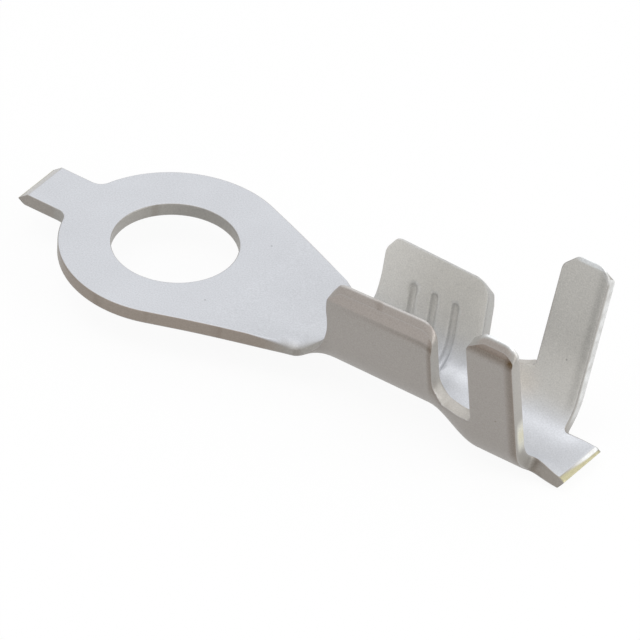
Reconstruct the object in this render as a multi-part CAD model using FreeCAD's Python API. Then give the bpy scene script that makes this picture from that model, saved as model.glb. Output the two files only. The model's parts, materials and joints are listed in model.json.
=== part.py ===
import FreeCAD, Part
import math
import os

from FreeCAD import Vector

# Ring terminal, blanked and folded from one strip of tinned brass. Millimetres, +Z up.
# The origin is the centre of the stud hole on the underside of the tongue, and +X runs to the tail.
# Past the neck the strip is curled into a trough. A place on it is named by three lengths:
# run is the distance along the terminal, reach the distance from the centre line along the
# curled sheet, and depth the distance from the outer face towards the inner one.

# Strip
stock = 0.5

# Tongue and its stud hole
stud_hole_diameter = 4.3
ring_diameter = 7.86
taper_angle = 20.75
tip_run = -5.78
tip_width = 1.97
tip_root_radius = 0.45
tongue_bend_run = 2.4
tongue_dip = 0.16

# Cut ends of the tip and the tail, parted from the carrier strip in a V
tip_nose_height = 0.2
tip_upper_bevel = 0.38
tip_lower_bevel = 0.3
tail_nose_height = 0.36
tail_upper_bevel = 0.2
tail_lower_bevel = 0.26

# Neck, where the tongue dips and its sides curl up
neck_run = 5.3
neck_length = 2.12
neck_curl_start = 0.86
neck_notch_reach = 1.74
neck_notch_start = 1.63
neck_notch_rise = 1.44

# Wire barrel
wire_barrel_length = 4.2
wire_outer_radius = 1.62
wire_front_flare = 11.2
wire_rear_flare = 8.4
wire_drop = 0.5
wire_wing_reach = 4.6
wire_chamfer_run = 0.42
wire_chamfer_rise = 0.6
wire_rear_radius = 0.58
wire_corner_easing = 0.2
wire_taper_length = 1.05
wire_taper_depth = 0.24

# Serrations across the floor of the wire barrel
groove_count = 3
groove_first = 1.33
groove_pitch = 0.85
groove_width = 0.24
groove_depth = 0.1
groove_reach = 3.1

# Channel between the two barrels
channel_length = 1.76
channel_lead = 0.42
channel_front_reach = 2.0
channel_rear_reach = 2.85
channel_front_radius = 0.45
channel_rear_radius = 0.25

# Insulation barrel
insulation_barrel_length = 1.84
insulation_outer_radius = 2.05
insulation_flare = 13.4
insulation_drop = 1.22
insulation_lean = 3.3
insulation_wing_reach = 7.37
insulation_front_chamfer = 0.55
insulation_rear_chamfer = 0.36
insulation_corner_easing = 0.15
insulation_taper_length = 0.7
insulation_taper_depth = 0.22

# Tail tab
tail_length = 1.44
tail_width = 2.14
tail_drop = 1.14
tail_root_radius = 0.2

# Places along the run that follow from these lengths
curl_start = neck_run + neck_curl_start
wire_front = neck_run + neck_length
wire_rear = wire_front + wire_barrel_length
channel_start = wire_rear - channel_lead
insulation_front = wire_rear + channel_length
insulation_rear = insulation_front + insulation_barrel_length
tail_run = insulation_rear + tail_length

# How finely a curled stretch is described
sections_per_bend = 8
points_per_arc = 9
steps_per_round = 6

# Room by which a cutting solid stands proud of the sheet
clear = 0.4


def portion(start, end, run):
    """Share of a stretch that lies before a run."""
    return min(1.0, max(0.0, (run - start) / (end - start)))


def ease(start, end, run):
    """Share of a bend that is done at a run, level at both of its ends."""
    share = portion(start, end, run)
    return share * share * (3.0 - 2.0 * share)


def blend(first, second, share):
    """Each value of two forms, mixed by a share."""
    return [a + (b - a) * share for a, b in zip(first, second)]


def barrel_form(outer_radius, flare, drop, lean):
    """Curl per length, curled half length, height of the outer face and lean of a barrel."""
    middle = outer_radius - stock / 2
    return [1.0 / middle, math.radians(90.0 - flare) * middle, -drop, math.radians(lean)]


WIRE_FRONT = barrel_form(wire_outer_radius, wire_front_flare, wire_drop, 0.0)
WIRE_REAR = barrel_form(wire_outer_radius, wire_rear_flare, wire_drop, 0.0)
INSULATION = barrel_form(insulation_outer_radius, insulation_flare, insulation_drop, insulation_lean)
TONGUE = [0.0, WIRE_FRONT[1], 0.0, 0.0]
TAIL = [0.0, INSULATION[1], -tail_drop, 0.0]


def form(run):
    """Curl, curled half length, height of the outer face and lean of the sheet at a run."""
    neck = ease(curl_start, wire_front, run)
    wire = blend(WIRE_FRONT, WIRE_REAR, portion(wire_front, channel_start, run))
    channel = ease(channel_start, insulation_front, run)
    tail = ease(insulation_rear, tail_run, run)
    curl, curled, height, lean = blend(blend(blend(TONGUE, wire, neck), INSULATION, channel), TAIL, tail)
    height -= tongue_dip * (ease(tongue_bend_run, wire_front, run) - neck)
    return curl, curled, height, lean


def across(run, reach, depth):
    """Sideways and upward distance, in the section's own plane, of a place on the sheet."""
    curl, curled = form(run)[:2]
    inward = depth - stock / 2
    bent = min(reach, curled)
    turn = curl * bent
    side, rise = bent, 0.0
    if curl > 0:
        side, rise = math.sin(turn) / curl, (1.0 - math.cos(turn)) / curl
    straight = reach - bent
    side += straight * math.cos(turn) - inward * math.sin(turn)
    rise += straight * math.sin(turn) + inward * math.cos(turn)
    return side, rise + stock / 2


def stand(run, side, rise):
    """Point of a section's plane, which leans towards the tail."""
    height, lean = form(run)[2:]
    return Vector(run + rise * math.sin(lean), side, height + rise * math.cos(lean))


def place(run, reach, depth, hand=1):
    """Point of the sheet; hand is 1 on the left of the run and -1 on the right."""
    side, rise = across(run, reach, depth)
    return stand(run, hand * side, rise)


def curled_edge(run, reach, depth):
    """Edge across the curled part of a section at one depth, from the right to the left."""
    half = points_per_arc // 2
    reaches = [reach * i / half for i in range(-half, half + 1)]
    points = [place(run, abs(r), depth, 1 if r >= 0 else -1) for r in reaches]
    step = reach / 1000
    start = place(run, reach, depth, -1) - place(run, reach + step, depth, -1)
    finish = place(run, reach + step, depth) - place(run, reach, depth)
    curve = Part.BSplineCurve()
    curve.interpolate(Points=points, InitialTangent=start, FinalTangent=finish)
    return curve.toShape()


def sheet_section(run, reach, low=0.0, high=stock):
    """Closed outline of the curled sheet at a run, out to a reach, between two depths."""
    curled = form(run)[1]
    outer = curled_edge(run, curled, low)
    inner = curled_edge(run, curled, high)
    left = [outer.Vertexes[-1].Point, place(run, reach, low), place(run, reach, high), inner.Vertexes[-1].Point]
    right = [inner.Vertexes[0].Point, place(run, reach, high, -1), place(run, reach, low, -1)]
    right.append(outer.Vertexes[0].Point)
    sides = [Part.makeLine(a, b) for chain in (left, right) for a, b in zip(chain, chain[1:])]
    return Part.Wire([outer] + sides[:3] + [inner] + sides[3:])


def stretch(start, end, reach, bending):
    """Solid of the curled sheet between two runs; a stretch that doesn't bend is straight."""
    count = sections_per_bend if bending else 2
    runs = [start + (end - start) * i / (count - 1) for i in range(count)]
    return Part.makeLoft([sheet_section(run, reach) for run in runs], True, not bending)


def trough():
    """Curled sheet from the neck to the tail, with more reach everywhere than it keeps."""
    wire = wire_wing_reach + clear
    insulation = insulation_wing_reach + clear
    pieces = [
        stretch(neck_run, curl_start, neck_notch_reach + neck_notch_rise + clear, True),
        stretch(curl_start, wire_front, neck_notch_reach + neck_notch_rise + clear, True),
        stretch(wire_front, channel_start, wire, False),
        stretch(channel_start, wire_rear, wire, True),
        stretch(wire_rear, insulation_front, channel_rear_reach + channel_front_radius + clear, True),
        stretch(insulation_front, insulation_rear, insulation, False),
        stretch(insulation_rear, tail_run, INSULATION[1] + clear, True),
    ]
    return pieces[0].fuse(pieces[1:])


def waste_section(run, reach, hand):
    """Outline, in one section's plane, of all that lies beyond a reach."""
    beyond = insulation_wing_reach + wire_wing_reach
    foot = across(run, reach, -clear)
    head = across(run, reach, stock + clear)
    corners = [foot, head, (head[0], beyond), (beyond, beyond), (beyond, foot[1])]
    return Part.makePolygon([stand(run, hand * side, rise) for side, rise in corners + corners[:1]])


def waste(outline, hand):
    """Solid that trims the sheet to an outline of run and reach pairs, on one hand."""
    return Part.makeLoft([waste_section(run, reach, hand) for run, reach in outline], True, True)


def quarter(run, reach, radius, start, rise=None):
    """Points on a quarter round, or quarter oval, about a centre, from an angle in degrees."""
    tall = rise or radius
    angles = [math.radians(start + 90.0 * i / steps_per_round) for i in range(steps_per_round + 1)]
    return [(run + radius * math.cos(a), reach + tall * math.sin(a)) for a in angles]


def eased(corners, length):
    """Chain of corners whose inner ones are rounded off, over a length of each of their sides."""
    chain = corners[:1]
    for before, corner, after in zip(corners, corners[1:], corners[2:]):
        start = blend(corner, before, min(0.5, length / math.dist(corner, before)))
        finish = blend(corner, after, min(0.5, length / math.dist(corner, after)))
        middle = blend(blend(start, corner, 0.5), blend(corner, finish, 0.5), 0.5)
        chain += [start, middle, finish]
    return chain + corners[-1:]


def led_in(chain):
    """Chain carried on before its first place, in line with its first side."""
    return [blend(chain[1], chain[0], 2.0)] + chain


def neck_half_width():
    """Half width of the tongue where the neck starts."""
    angle = math.radians(taper_angle)
    return (ring_diameter / 2 - neck_run * math.sin(angle)) / math.cos(angle)


def neck_outline():
    """Edge of the blank from the taper, round the notch and up to the wire wings."""
    start = neck_half_width()
    slope = -math.tan(math.radians(taper_angle)) * neck_notch_start
    narrowing = []
    for i in range(steps_per_round):
        share = i / steps_per_round
        level = start + (neck_notch_reach - start) * ease(0, 1, share)
        narrowing.append((neck_run + neck_notch_start * share, level + slope * share * (1 - share) ** 2))
    length = neck_length - neck_notch_start
    centre = neck_notch_reach + neck_notch_rise
    return narrowing + quarter(neck_run + neck_notch_start, centre, length, -90, neck_notch_rise)


def wire_outline():
    """Top of the wire wings: a front chamfer, a straight tip and a rounded rear corner."""
    run, rise = wire_chamfer_run, wire_chamfer_rise
    top = wire_wing_reach
    radius = wire_rear_radius
    corner = quarter(wire_rear - radius, top - radius, radius, 0)[::-1]
    front = [(wire_front, top / 2), (wire_front, top - rise), (wire_front + run, top), corner[0]]
    return led_in(eased(front, wire_corner_easing)[1:-1]) + corner + [(wire_rear + radius / 8, top - 3 * radius)]


def channel_outline():
    """Notch between the wire wings and the insulation wings."""
    front = channel_front_radius
    rear = channel_rear_radius
    start = quarter(wire_rear + front, channel_front_reach + front, front, 180)
    return start + quarter(insulation_front - rear, channel_rear_reach + rear, rear, 270)


def insulation_outline():
    """Top of the insulation wings, with both corners cut off."""
    front = insulation_front_chamfer
    rear = insulation_rear_chamfer
    top = insulation_wing_reach
    corners = [(insulation_front, top / 2), (insulation_front, top - front), (insulation_front + front, top)]
    corners += [(insulation_rear - rear, top), (insulation_rear, top - rear), (insulation_rear, top / 2)]
    chain = led_in(eased(corners, insulation_corner_easing)[1:-1])
    return led_in(chain[::-1])[::-1]


def tail_outline():
    """Edge of the blank from the insulation wings to the tail's cut end."""
    radius = tail_root_radius
    half = tail_width / 2
    root = quarter(insulation_rear + radius, half + radius, radius, 180)
    return root + [(tail_run + clear, half)]


def tip_taper(runs, top, length, depth, hand):
    """Wedge that thins the outer face of a wing towards its tip."""
    slope = depth / length
    corners = [(top - length, 0.0), (top + clear, slope * (length + clear)), (top + clear, -clear)]
    corners.append((top - length, -clear))
    sections = []
    for run in runs:
        points = [place(run, reach, deep, hand) for reach, deep in corners]
        sections.append(Part.makePolygon(points + points[:1]))
    return Part.makeLoft(sections, True, True)


def groove(run):
    """Shallow serration across the floor of the wire barrel, round at both ends."""
    low = stock - groove_depth
    high = stock + clear / 2
    half = groove_width / 2
    solid = Part.makeLoft([sheet_section(run + side, groove_reach, low, high) for side in (-half, half)], True, True)
    for hand in (1, -1):
        foot = place(run, groove_reach, low, hand)
        axis = place(run, groove_reach, high, hand) - foot
        solid = solid.fuse(Part.makeCylinder(half, axis.Length, foot, axis))
    return solid


def plan():
    """Tall solid on the tongue's outline: the tip tab, the ring and the taper to the neck."""
    radius = ring_diameter / 2
    half_tip = tip_width / 2
    angle = math.radians(taper_angle)
    centre = Vector(-math.sqrt((radius + tip_root_radius) ** 2 - (half_tip + tip_root_radius) ** 2),
                    half_tip + tip_root_radius, 0)
    on_tab = Vector(centre.x, half_tip, 0)
    on_ring = centre * (radius / (radius + tip_root_radius))
    between = centre + ((on_tab + on_ring) * 0.5 - centre).normalize() * tip_root_radius
    leave = Vector(radius * math.sin(angle), radius * math.cos(angle), 0)
    tip = Vector(tip_run, half_tip, 0)
    neck = Vector(neck_run, neck_half_width(), 0)
    side = [
        Part.makeLine(tip, on_tab),
        Part.Arc(on_tab, between, on_ring).toShape(),
        Part.Arc(on_ring, Vector(0, radius, 0), leave).toShape(),
        Part.makeLine(leave, neck),
    ]
    other = [edge.mirror(Vector(0, 0, 0), Vector(0, 1, 0)) for edge in side]
    ends = [Part.makeLine(Vector(v.x, -v.y, 0), v) for v in (tip, neck)]
    outline = Part.Wire(Part.__sortEdges__(side + other + ends))
    outline.translate(Vector(0, 0, -wire_drop))
    return Part.Face(outline).extrude(Vector(0, 0, wire_drop + stock + clear))


def nose_cutter(run, height, nose, upper, lower, outward):
    """Solid that cuts an end to a V; outward is 1 at the tail and -1 at the tip."""
    edge = Vector(run, -ring_diameter, height + nose)
    top = Vector(run - outward * upper, -ring_diameter, height + stock)
    bottom = Vector(run - outward * lower, -ring_diameter, height)
    above = top * 2 - edge
    below = bottom * 2 - edge
    far = run + outward
    corners = [edge, above, Vector(far, above.y, above.z), Vector(far, below.y, below.z), below, edge]
    return Part.Face(Part.makePolygon(corners)).extrude(Vector(0, 2 * ring_diameter, 0))


def tongue():
    """Tongue with its stud hole: flat at the ring and dipping towards the neck."""
    flat = Part.makeBox(tongue_bend_run - tip_run, ring_diameter, stock, Vector(tip_run, -ring_diameter / 2, 0))
    bend = stretch(tongue_bend_run, neck_run, ring_diameter / 2, True)
    hole = Part.makeCylinder(stud_hole_diameter / 2, stock + 2 * clear, Vector(0, 0, -clear))
    return flat.fuse(bend).common(plan()).cut(hole)


def barrels():
    """Curled part behind the neck: both barrels, the channel between them and the tail tab."""
    solid = trough()
    for outline in (neck_outline(), wire_outline(), channel_outline(), insulation_outline(), tail_outline()):
        solid = solid.cut([waste(outline, 1), waste(outline, -1)])
    wire_runs = [wire_front, channel_start, channel_start + channel_lead / 2, wire_rear]
    insulation_runs = [insulation_front, insulation_rear]
    for hand in (1, -1):
        solid = solid.cut(tip_taper(wire_runs, wire_wing_reach, wire_taper_length, wire_taper_depth, hand))
        solid = solid.cut(tip_taper(insulation_runs, insulation_wing_reach, insulation_taper_length,
                                    insulation_taper_depth, hand))
    for i in range(groove_count):
        solid = solid.cut(groove(wire_front + groove_first + i * groove_pitch))
    return solid


def terminal():
    """The whole folded sheet, its two cut ends parted to a V."""
    solid = tongue().fuse(barrels())
    tip = nose_cutter(tip_run, 0.0, tip_nose_height, tip_upper_bevel, tip_lower_bevel, -1)
    tail = nose_cutter(tail_run, -tail_drop, tail_nose_height, tail_upper_bevel, tail_lower_bevel, 1)
    return solid.cut([tip, tail]).removeSplitter()


os.makedirs("parts", exist_ok=True)
ring_terminal = terminal()
print("solids", len(ring_terminal.Solids), "valid", ring_terminal.isValid(), "faces", len(ring_terminal.Faces))
print("volume", round(ring_terminal.Volume, 3), "box", ring_terminal.BoundBox)
ring_terminal.exportStep("parts/ring_terminal.step")
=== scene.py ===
import json
import math

import bpy
import numpy as np
from bpy.props import FloatProperty, FloatVectorProperty, IntProperty, PointerProperty
from mathutils import Matrix, Vector
from mathutils.geometry import delaunay_2d_cdt

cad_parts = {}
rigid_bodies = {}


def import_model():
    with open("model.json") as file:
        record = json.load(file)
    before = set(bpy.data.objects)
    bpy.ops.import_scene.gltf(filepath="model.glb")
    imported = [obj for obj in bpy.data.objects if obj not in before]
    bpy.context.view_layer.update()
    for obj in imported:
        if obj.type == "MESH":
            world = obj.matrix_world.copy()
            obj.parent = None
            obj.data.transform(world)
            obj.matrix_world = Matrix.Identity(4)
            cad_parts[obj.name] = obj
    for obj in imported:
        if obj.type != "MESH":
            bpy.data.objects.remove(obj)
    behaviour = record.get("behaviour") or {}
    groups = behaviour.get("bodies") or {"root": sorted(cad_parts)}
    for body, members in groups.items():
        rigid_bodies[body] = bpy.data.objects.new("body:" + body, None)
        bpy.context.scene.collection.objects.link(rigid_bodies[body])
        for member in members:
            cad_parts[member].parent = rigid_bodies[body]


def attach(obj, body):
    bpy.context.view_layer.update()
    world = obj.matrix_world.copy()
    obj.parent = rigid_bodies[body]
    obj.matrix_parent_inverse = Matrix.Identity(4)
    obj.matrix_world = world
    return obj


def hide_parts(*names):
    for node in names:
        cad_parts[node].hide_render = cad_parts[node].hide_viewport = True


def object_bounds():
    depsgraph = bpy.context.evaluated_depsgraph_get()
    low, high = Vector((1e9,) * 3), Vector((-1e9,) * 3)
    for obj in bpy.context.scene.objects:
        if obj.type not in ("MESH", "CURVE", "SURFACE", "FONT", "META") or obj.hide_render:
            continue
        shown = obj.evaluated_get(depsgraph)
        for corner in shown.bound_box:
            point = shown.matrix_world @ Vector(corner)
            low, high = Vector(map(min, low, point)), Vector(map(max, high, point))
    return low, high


# Ring terminal with two open barrels. The blank is drawn flat, and Geometry Nodes press its
# serrations and coined tips and fold it. Sizes are in metres: the run goes along the terminal,
# the reach goes from the middle line along the sheet, and the depth goes through the sheet.
bl_info = {
    "name": "Ring Terminal",
    "version": (1, 0, 0),
    "blender": (4, 5, 0),
    "location": "View3D > Sidebar > Terminal",
    "description": "Blanks, presses and folds a ring terminal and sets its stage",
    "category": "Add Mesh",
}

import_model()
CAD_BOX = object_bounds()
NODE = "ring_terminal"
MM = 0.001
BARREL_GAP = 0.4 * MM
NECK_MIDDLE = 0.35 * MM
NECK_SPREAD = 0.9 * MM
NECK_BORDER = 0.5 * MM
BEVEL_REACH = 1.2 * MM
TIP_BORDER = 0.7 * MM
TINY = 1e-9
SERRATION_FOOT = 0.03 * MM
SERRATION_LIP = 0.02 * MM
FLOOR_SIZE = 3.0
KEY_PLACE, KEY_SIZE = (-0.02, -0.035, 0.165), 0.12
SIDE_PLACE, SIDE_SIZE = (0.16, 0.03, 0.06), 0.1


def length(name, millimetres, description):
    """A size of the terminal, given in millimetres and kept in metres."""
    return FloatProperty(name=name, description=description, default=millimetres * MM,
                         unit="LENGTH", subtype="DISTANCE", precision=5)


def angle(name, degrees, description):
    """An angle of the terminal, given in degrees and kept in radians."""
    return FloatProperty(name=name, description=description, default=math.radians(degrees),
                         unit="ROTATION", subtype="ANGLE")


def colour(name, values, description):
    """A colour that a finish uses, as scene linear red, green and blue."""
    return FloatVectorProperty(name=name, description=description, default=values,
                               subtype="COLOR", min=0.0, max=1.0)


def number(name, value, description):
    """A plain number."""
    return FloatProperty(name=name, description=description, default=value)


def fraction(name, value, description):
    """A value between 0 and 1."""
    return FloatProperty(name=name, description=description, default=value, min=0.0, max=1.0)


class TERMINAL_PG_tongue(bpy.types.PropertyGroup):
    """Sizes of the tongue and the neck."""
    stock: length("Stock", 0.5, "Thickness of the strip")
    hole: length("Stud Hole", 4.3, "Diameter of the stud hole")
    ring: length("Ring", 7.86, "Diameter of the ring")
    taper: angle("Taper", 20.75, "Angle between the tongue's side and its middle line")
    tip_run: length("Tip", -5.78, "Place of the tip's cut edge along the terminal")
    tip_width: length("Tip Width", 1.97, "Width of the tab at the tip")
    tip_root: length("Tip Root", 0.45, "Radius where the tab meets the ring")
    bend_run: length("Bend Start", 2.4, "Where the tongue starts to dip")
    dip: length("Dip", 0.16, "How far the tongue dips before the neck")
    tip_nose: length("Tip Nose", 0.2, "Height of the foremost line of the tip's cut end")
    tip_upper: length("Tip Upper Bevel", 0.38, "Slant of the tip's cut end above that line")
    tip_lower: length("Tip Lower Bevel", 0.3, "Slant of the tip's cut end below that line")
    neck_run: length("Neck Start", 5.3, "Where the sides start to narrow")
    neck_length: length("Neck Length", 2.12, "From the neck's start to the wire wings")
    curl_start: length("Curl Start", 0.86, "From the neck's start to where the sides curl up")
    notch_reach: length("Notch Reach", 1.74, "Half width of the strip in the neck's notch")
    notch_start: length("Notch Start", 1.63, "Length over which the neck narrows")
    notch_rise: length("Notch Rise", 1.44, "How far the notch's round reaches up the wing")


class TERMINAL_PG_wire(bpy.types.PropertyGroup):
    """Sizes of the wire barrel and of the channel behind it."""
    barrel: length("Barrel Length", 4.2, "Length of the wire barrel")
    radius: length("Outer Radius", 1.62, "Outer radius of its floor")
    front_flare: angle("Front Flare", 11.2, "Lean of the wings outwards at the front")
    rear_flare: angle("Rear Flare", 8.4, "Lean of the wings outwards at the rear")
    drop: length("Drop", 0.5, "How far its underside lies below the tongue's")
    reach: length("Wing Reach", 4.6, "From the middle line to the wing's tip, along the sheet")
    chamfer_run: length("Chamfer Run", 0.42, "Front corner, along the terminal")
    chamfer_rise: length("Chamfer Rise", 0.6, "Front corner, along the wing")
    corner: length("Rear Corner", 0.58, "Radius of the rear corner")
    easing: length("Front Corner Easing", 0.2, "Rounding of the front chamfer's corners")
    coin_length: length("Coined Length", 1.05, "Length of the thinned tip")
    coin_depth: length("Coined Depth", 0.24, "How much thinner the tip gets")
    groove_count: IntProperty(name="Serrations", description="Number of serrations", default=3, min=0, max=6)
    groove_first: length("First Serration", 1.33, "From the barrel's front")
    groove_pitch: length("Serration Pitch", 0.85, "From one serration to the next")
    groove_width: length("Serration Width", 0.24, "Width of a serration")
    groove_depth: length("Serration Depth", 0.1, "Depth of a serration")
    groove_reach: length("Serration Reach", 3.1, "Half length of a serration along the sheet")
    channel: length("Channel", 1.76, "From the wire barrel to the insulation barrel")
    channel_lead: length("Channel Lead", 0.42, "How far inside the wire barrel the channel's bend starts")
    channel_front_reach: length("Channel Front Reach", 2.0, "Half width at the front of the channel")
    channel_rear_reach: length("Channel Rear Reach", 2.85, "Half width at the rear of the channel")
    channel_front_radius: length("Channel Front Radius", 0.45, "Round at the front of the notch")
    channel_rear_radius: length("Channel Rear Radius", 0.25, "Round at the rear of the notch")


class TERMINAL_PG_insulation(bpy.types.PropertyGroup):
    """Sizes of the insulation barrel and the tail tab."""
    barrel: length("Barrel Length", 1.84, "Length of the insulation barrel")
    radius: length("Outer Radius", 2.05, "Outer radius of its floor")
    flare: angle("Flare", 13.4, "Lean of the wings outwards")
    drop: length("Drop", 1.22, "How far its underside lies below the tongue's")
    lean: angle("Lean", 3.3, "Lean of the wings towards the tail")
    reach: length("Wing Reach", 7.37, "From the middle line to the wing's tip, along the sheet")
    front_chamfer: length("Front Chamfer", 0.55, "Front corner of a wing")
    rear_chamfer: length("Rear Chamfer", 0.36, "Rear corner of a wing")
    easing: length("Corner Easing", 0.17, "Rounding of the chamfers' corners")
    coin_length: length("Coined Length", 0.7, "Length of the thinned tip")
    coin_depth: length("Coined Depth", 0.22, "How much thinner the tip gets")
    tail: length("Tail Length", 1.44, "Length of the tail tab")
    tail_width: length("Tail Width", 2.14, "Width of the tail tab")
    tail_drop: length("Tail Drop", 1.14, "How far the tail's underside lies below the tongue's")
    tail_root: length("Tail Root", 0.2, "Radius where the tail leaves the barrel")
    tail_nose: length("Tail Nose", 0.36, "Height of the rearmost line of the tail's cut end")
    tail_upper: length("Tail Upper Bevel", 0.2, "Slant of the tail's cut end above that line")
    tail_lower: length("Tail Lower Bevel", 0.26, "Slant of the tail's cut end below that line")


class TERMINAL_PG_finish(bpy.types.PropertyGroup):
    """How the edges and surfaces are finished."""
    roll: length("Rolled Edge", 0.06, "How far the blanked edge is drawn in")
    outer_roll: length("Outer Roll", 0.07, "Height of the rounding on the outer face")
    inner_roll: length("Inner Roll", 0.035, "Height of the rounding on the inner face")
    neck_roll: length("Neck Roll", 0.24, "How far the upper edge is drawn down at the neck")
    tip_roll: length("Tip Roll", 0.28, "How far the outer side of a wing's tip is rounded back")
    # Band Height sets the band below each wing's tip whose tin is painted darker as painted shade, with a
    # soft painted shadow below it.
    shaded_band_height: length("Band Height", 0.62, "Height of the band that the tools left below a wing's tip")
    mesh_size: length("Mesh Size", 0.16, "Distance between the points of the sheet's faces")
    tin: colour("Tin", (0.59, 0.605, 0.64), "Satin tin plate")
    # Inner Wing Tin is painted light: lighter, warmer tin inside the standing wings, for light bounced
    # between them.
    inner: colour("Inner Wing Tin", (0.645, 0.63, 0.595), "Tin plate inside the standing wings")
    # Warm Tin is a painted reflection: the cream tint that the channel's edges throw onto the inner faces
    # beside them.
    warm_reflection: colour("Warm Tin", (0.72, 0.665, 0.595), "Tin plate that the channel's edges tint")
    # Outer Tin is painted shade: darker tin on the outer face, which faces away from the lights.
    outer: colour("Outer Tin", (0.322, 0.299, 0.277), "Tin plate rubbed by the folding tools")
    # Coined Tin and the colour after it are painted shade: darker, browner tin on the outer face of the band
    # below the wire and the insulation wings' tips.
    coined: colour("Coined Tin", (0.35, 0.314, 0.288), "Tin plate on the thinned tips")
    insulation_tip_shade: colour("Rubbed Tin", (0.275, 0.232, 0.2), "Tin plate on the insulation wings' tips")
    # Tongue Rim is painted shade: a darker, browner blanked edge where it faces away from the lights.
    shaded_rim: colour("Tongue Rim", (0.275, 0.235, 0.20), "Blanked edge of the tongue")
    sheared: colour("Sheared Edge", (0.315, 0.302, 0.28), "Blanked edge of the hole, barrels and tabs")
    # Far Rear Edge is painted light: a lighter blanked edge on the far side, which faces the tail light.
    lit_far_edge: colour("Far Rear Edge", (0.43, 0.425, 0.41), "Rear edge of the far wire wing")
    # Notch Edge is painted light: a lighter blanked edge along the channel, where it faces up.
    notch: colour("Notch Edge", (0.56, 0.535, 0.50), "Blanked edge of the channel")
    # Wire Wing Crest is painted shade, in the darker tone of the band below it; Insulation Wing Crest is
    # lighter, as painted highlight.
    wire_crest: colour("Wire Wing Crest", (0.33, 0.297, 0.272), "Upper edge of the wire wings")
    crest: colour("Insulation Wing Crest", (0.42, 0.415, 0.40), "Upper edge of the insulation wings")
    # Burnished End is partly the real burnish of a cut end, and also serves as painted highlight on the
    # wings' tips and on the far side of the tail's end.
    burnish_and_highlight: colour("Burnished End", (0.85, 0.87, 0.88), "Bright bevel of a parted end")
    brass: colour("Brass", (0.46, 0.43, 0.27), "Bare brass on a parted end")
    grain: fraction("Grain", 0.38, "Strength of the finest mottling")
    tin_roughness: fraction("Tin Roughness", 0.42, "Roughness of the tin plate")


class TERMINAL_PG_stage(bpy.types.PropertyGroup):
    """Camera, floor and lights."""
    azimuth: angle("Azimuth", 33.661, "Direction from which the camera looks")
    elevation: angle("Elevation", 37.704, "Height of the camera above the horizon")
    roll: angle("Roll", 3.242, "Turn of the camera about its view")
    distance: length("Distance", 500.0, "From the camera to the origin along its view")
    shift_x: length("Shift Right", -4.855, "Offset of the origin to the right in the view")
    shift_y: length("Shift Up", 2.179, "Offset of the origin upwards in the view")
    focal: number("Focal Length", 842.28, "Lens for a 36 mm sensor, in millimetres")
    floor: colour("Floor", (0.9, 0.9, 0.9), "Pale floor")
    floor_glow: fraction("Floor Glow", 0.93, "Share of the floor that is seen as plain white")
    key: number("Key Light", 0.07, "Power of the overhead light, in watts")
    side: number("Side Light", 0.14, "Power of the light beyond the tail, in watts")
    fill: number("Fill", 0.75, "Strength of the surrounding light")


def settings():
    """The add-on's sizes, finishes and stage."""
    scene = bpy.context.scene
    return (scene.terminal_tongue, scene.terminal_wire, scene.terminal_insulation,
            scene.terminal_finish, scene.terminal_stage)


# Places along the run

def places():
    """Runs at which one part of the terminal gives way to the next."""
    t, w, i, _, _ = settings()
    spots = {"curl_start": t.neck_run + t.curl_start, "wire_front": t.neck_run + t.neck_length}
    spots["wire_rear"] = spots["wire_front"] + w.barrel
    spots["channel_start"] = spots["wire_rear"] - w.channel_lead
    spots["insulation_front"] = spots["wire_rear"] + w.channel
    spots["insulation_rear"] = spots["insulation_front"] + i.barrel
    spots["tail_run"] = spots["insulation_rear"] + i.tail
    return spots


# Outline of the flat blank

def arc(centre, radius, start, end, steps):
    """Points on an arc from one angle to another, in degrees."""
    angles = np.radians(np.linspace(start, end, steps + 1))
    return [(centre[0] + radius * math.cos(a), centre[1] + radius * math.sin(a)) for a in angles]


def rounded(points, cut, steps=5):
    """An open chain whose corners are rounded, each over a length of its sides or half of them."""
    chain = [points[0]]
    for before, here, after in zip(points, points[1:], points[2:]):
        here = Vector(here)
        start = here.lerp(Vector(before), min(0.5, cut / (Vector(before) - here).length))
        end = here.lerp(Vector(after), min(0.5, cut / (Vector(after) - here).length))
        for k in range(steps + 1):
            s = k / steps
            chain.append(tuple(start.lerp(here, s).lerp(here.lerp(end, s), s)))
    return chain + [points[-1]]


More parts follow.
